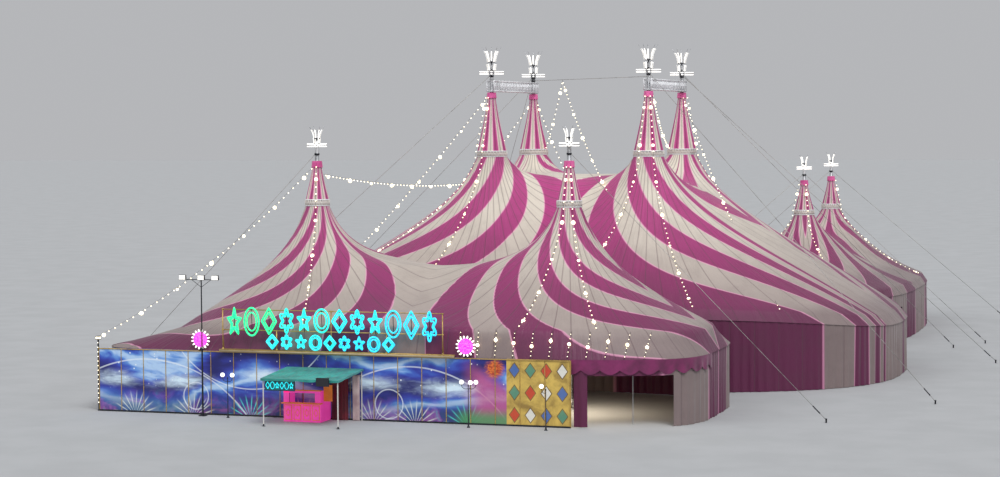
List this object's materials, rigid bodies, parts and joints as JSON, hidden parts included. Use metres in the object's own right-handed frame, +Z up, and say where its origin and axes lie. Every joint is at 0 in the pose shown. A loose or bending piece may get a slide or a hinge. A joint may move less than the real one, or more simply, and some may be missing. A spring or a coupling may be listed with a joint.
{
  "type": "circus big top tent, scale model",
  "caption": "Scale model of a striped circus big top: a tall main tent, a front foyer tent and a backstage tent, with masts, lit crowns, painted front wall and ticket booth.",
  "frame": {"origin": "centre of the underside of the base plate of the main tent's front right king mast, at ground level", "axes": "+Z up; +X along the painted front wall, from its left end to its right end as seen from outside; +Y from the front wall into the depth, towards the backstage tent"},
  "size_m": [5.5604, 8.3958, 2.2435],
  "materials": {
    "striped_cloth": "coated tent cloth, satin",
    "pale_cloth": "coated tent cloth, satin",
    "pink_cloth": "coated tent cloth, satin",
    "mast_steel": "grey paint",
    "rope_steel": "galvanised",
    "frame_gold": "beige gold paint",
    "painted_panel": "printed panel, satin",
    "booth_cloth": "coated cloth",
    "dark_metal": "dark paint",
    "lit_magenta": "lit plastic",
    "lit_globe": "lit globes on a dark post"
  },
  "bodies": {
    "root": {"main_roof_front_left": "striped_cloth", "main_peak_cap_front_left": "pink_cloth", "main_mast_front_left": "mast_steel", "main_roof_front_right": "striped_cloth", "main_peak_cap_front_right": "pink_cloth", "main_mast_front_right": "mast_steel", "main_roof_back_right": "striped_cloth", "main_peak_cap_back_right": "pink_cloth", "main_mast_back_right": "mast_steel", "main_roof_back_left": "striped_cloth", "main_peak_cap_back_left": "pink_cloth", "main_mast_back_left": "mast_steel", "foyer_roof_left": "striped_cloth", "foyer_peak_cap_left": "pink_cloth", "foyer_mast_left": "mast_steel", "foyer_roof_right": "striped_cloth", "foyer_peak_cap_right": "pink_cloth", "foyer_mast_right": "mast_steel", "backstage_roof_front": "striped_cloth", "backstage_peak_cap_front": "pink_cloth", "backstage_mast_front": "mast_steel", "backstage_roof_back": "striped_cloth", "backstage_peak_cap_back": "pink_cloth", "backstage_mast_back": "mast_steel", "main_side_wall": "pale_cloth", "foyer_side_wall": "striped_cloth", "backstage_side_wall": "pink_cloth", "main_side_poles": "rope_steel", "foyer_side_poles": "rope_steel", "backstage_side_poles": "rope_steel", "mast_bridge_left": "mast_steel", "mast_bridge_right": "mast_steel", "front_painted_wall": "painted_panel", "sign_frame": "frame_gold", "sunburst_left": "lit_magenta", "sunburst_right": "lit_magenta", "booth_frame": "dark_metal", "booth_roof": "booth_cloth", "booth_counter": "pink_cloth", "lamp_post_left": "lit_globe", "lamp_post_right": "lit_globe", "lamp_post_single": "lit_globe", "floodlight_post": "dark_metal", "corner_post_left": "dark_metal"}
  },
  "joints": []
}
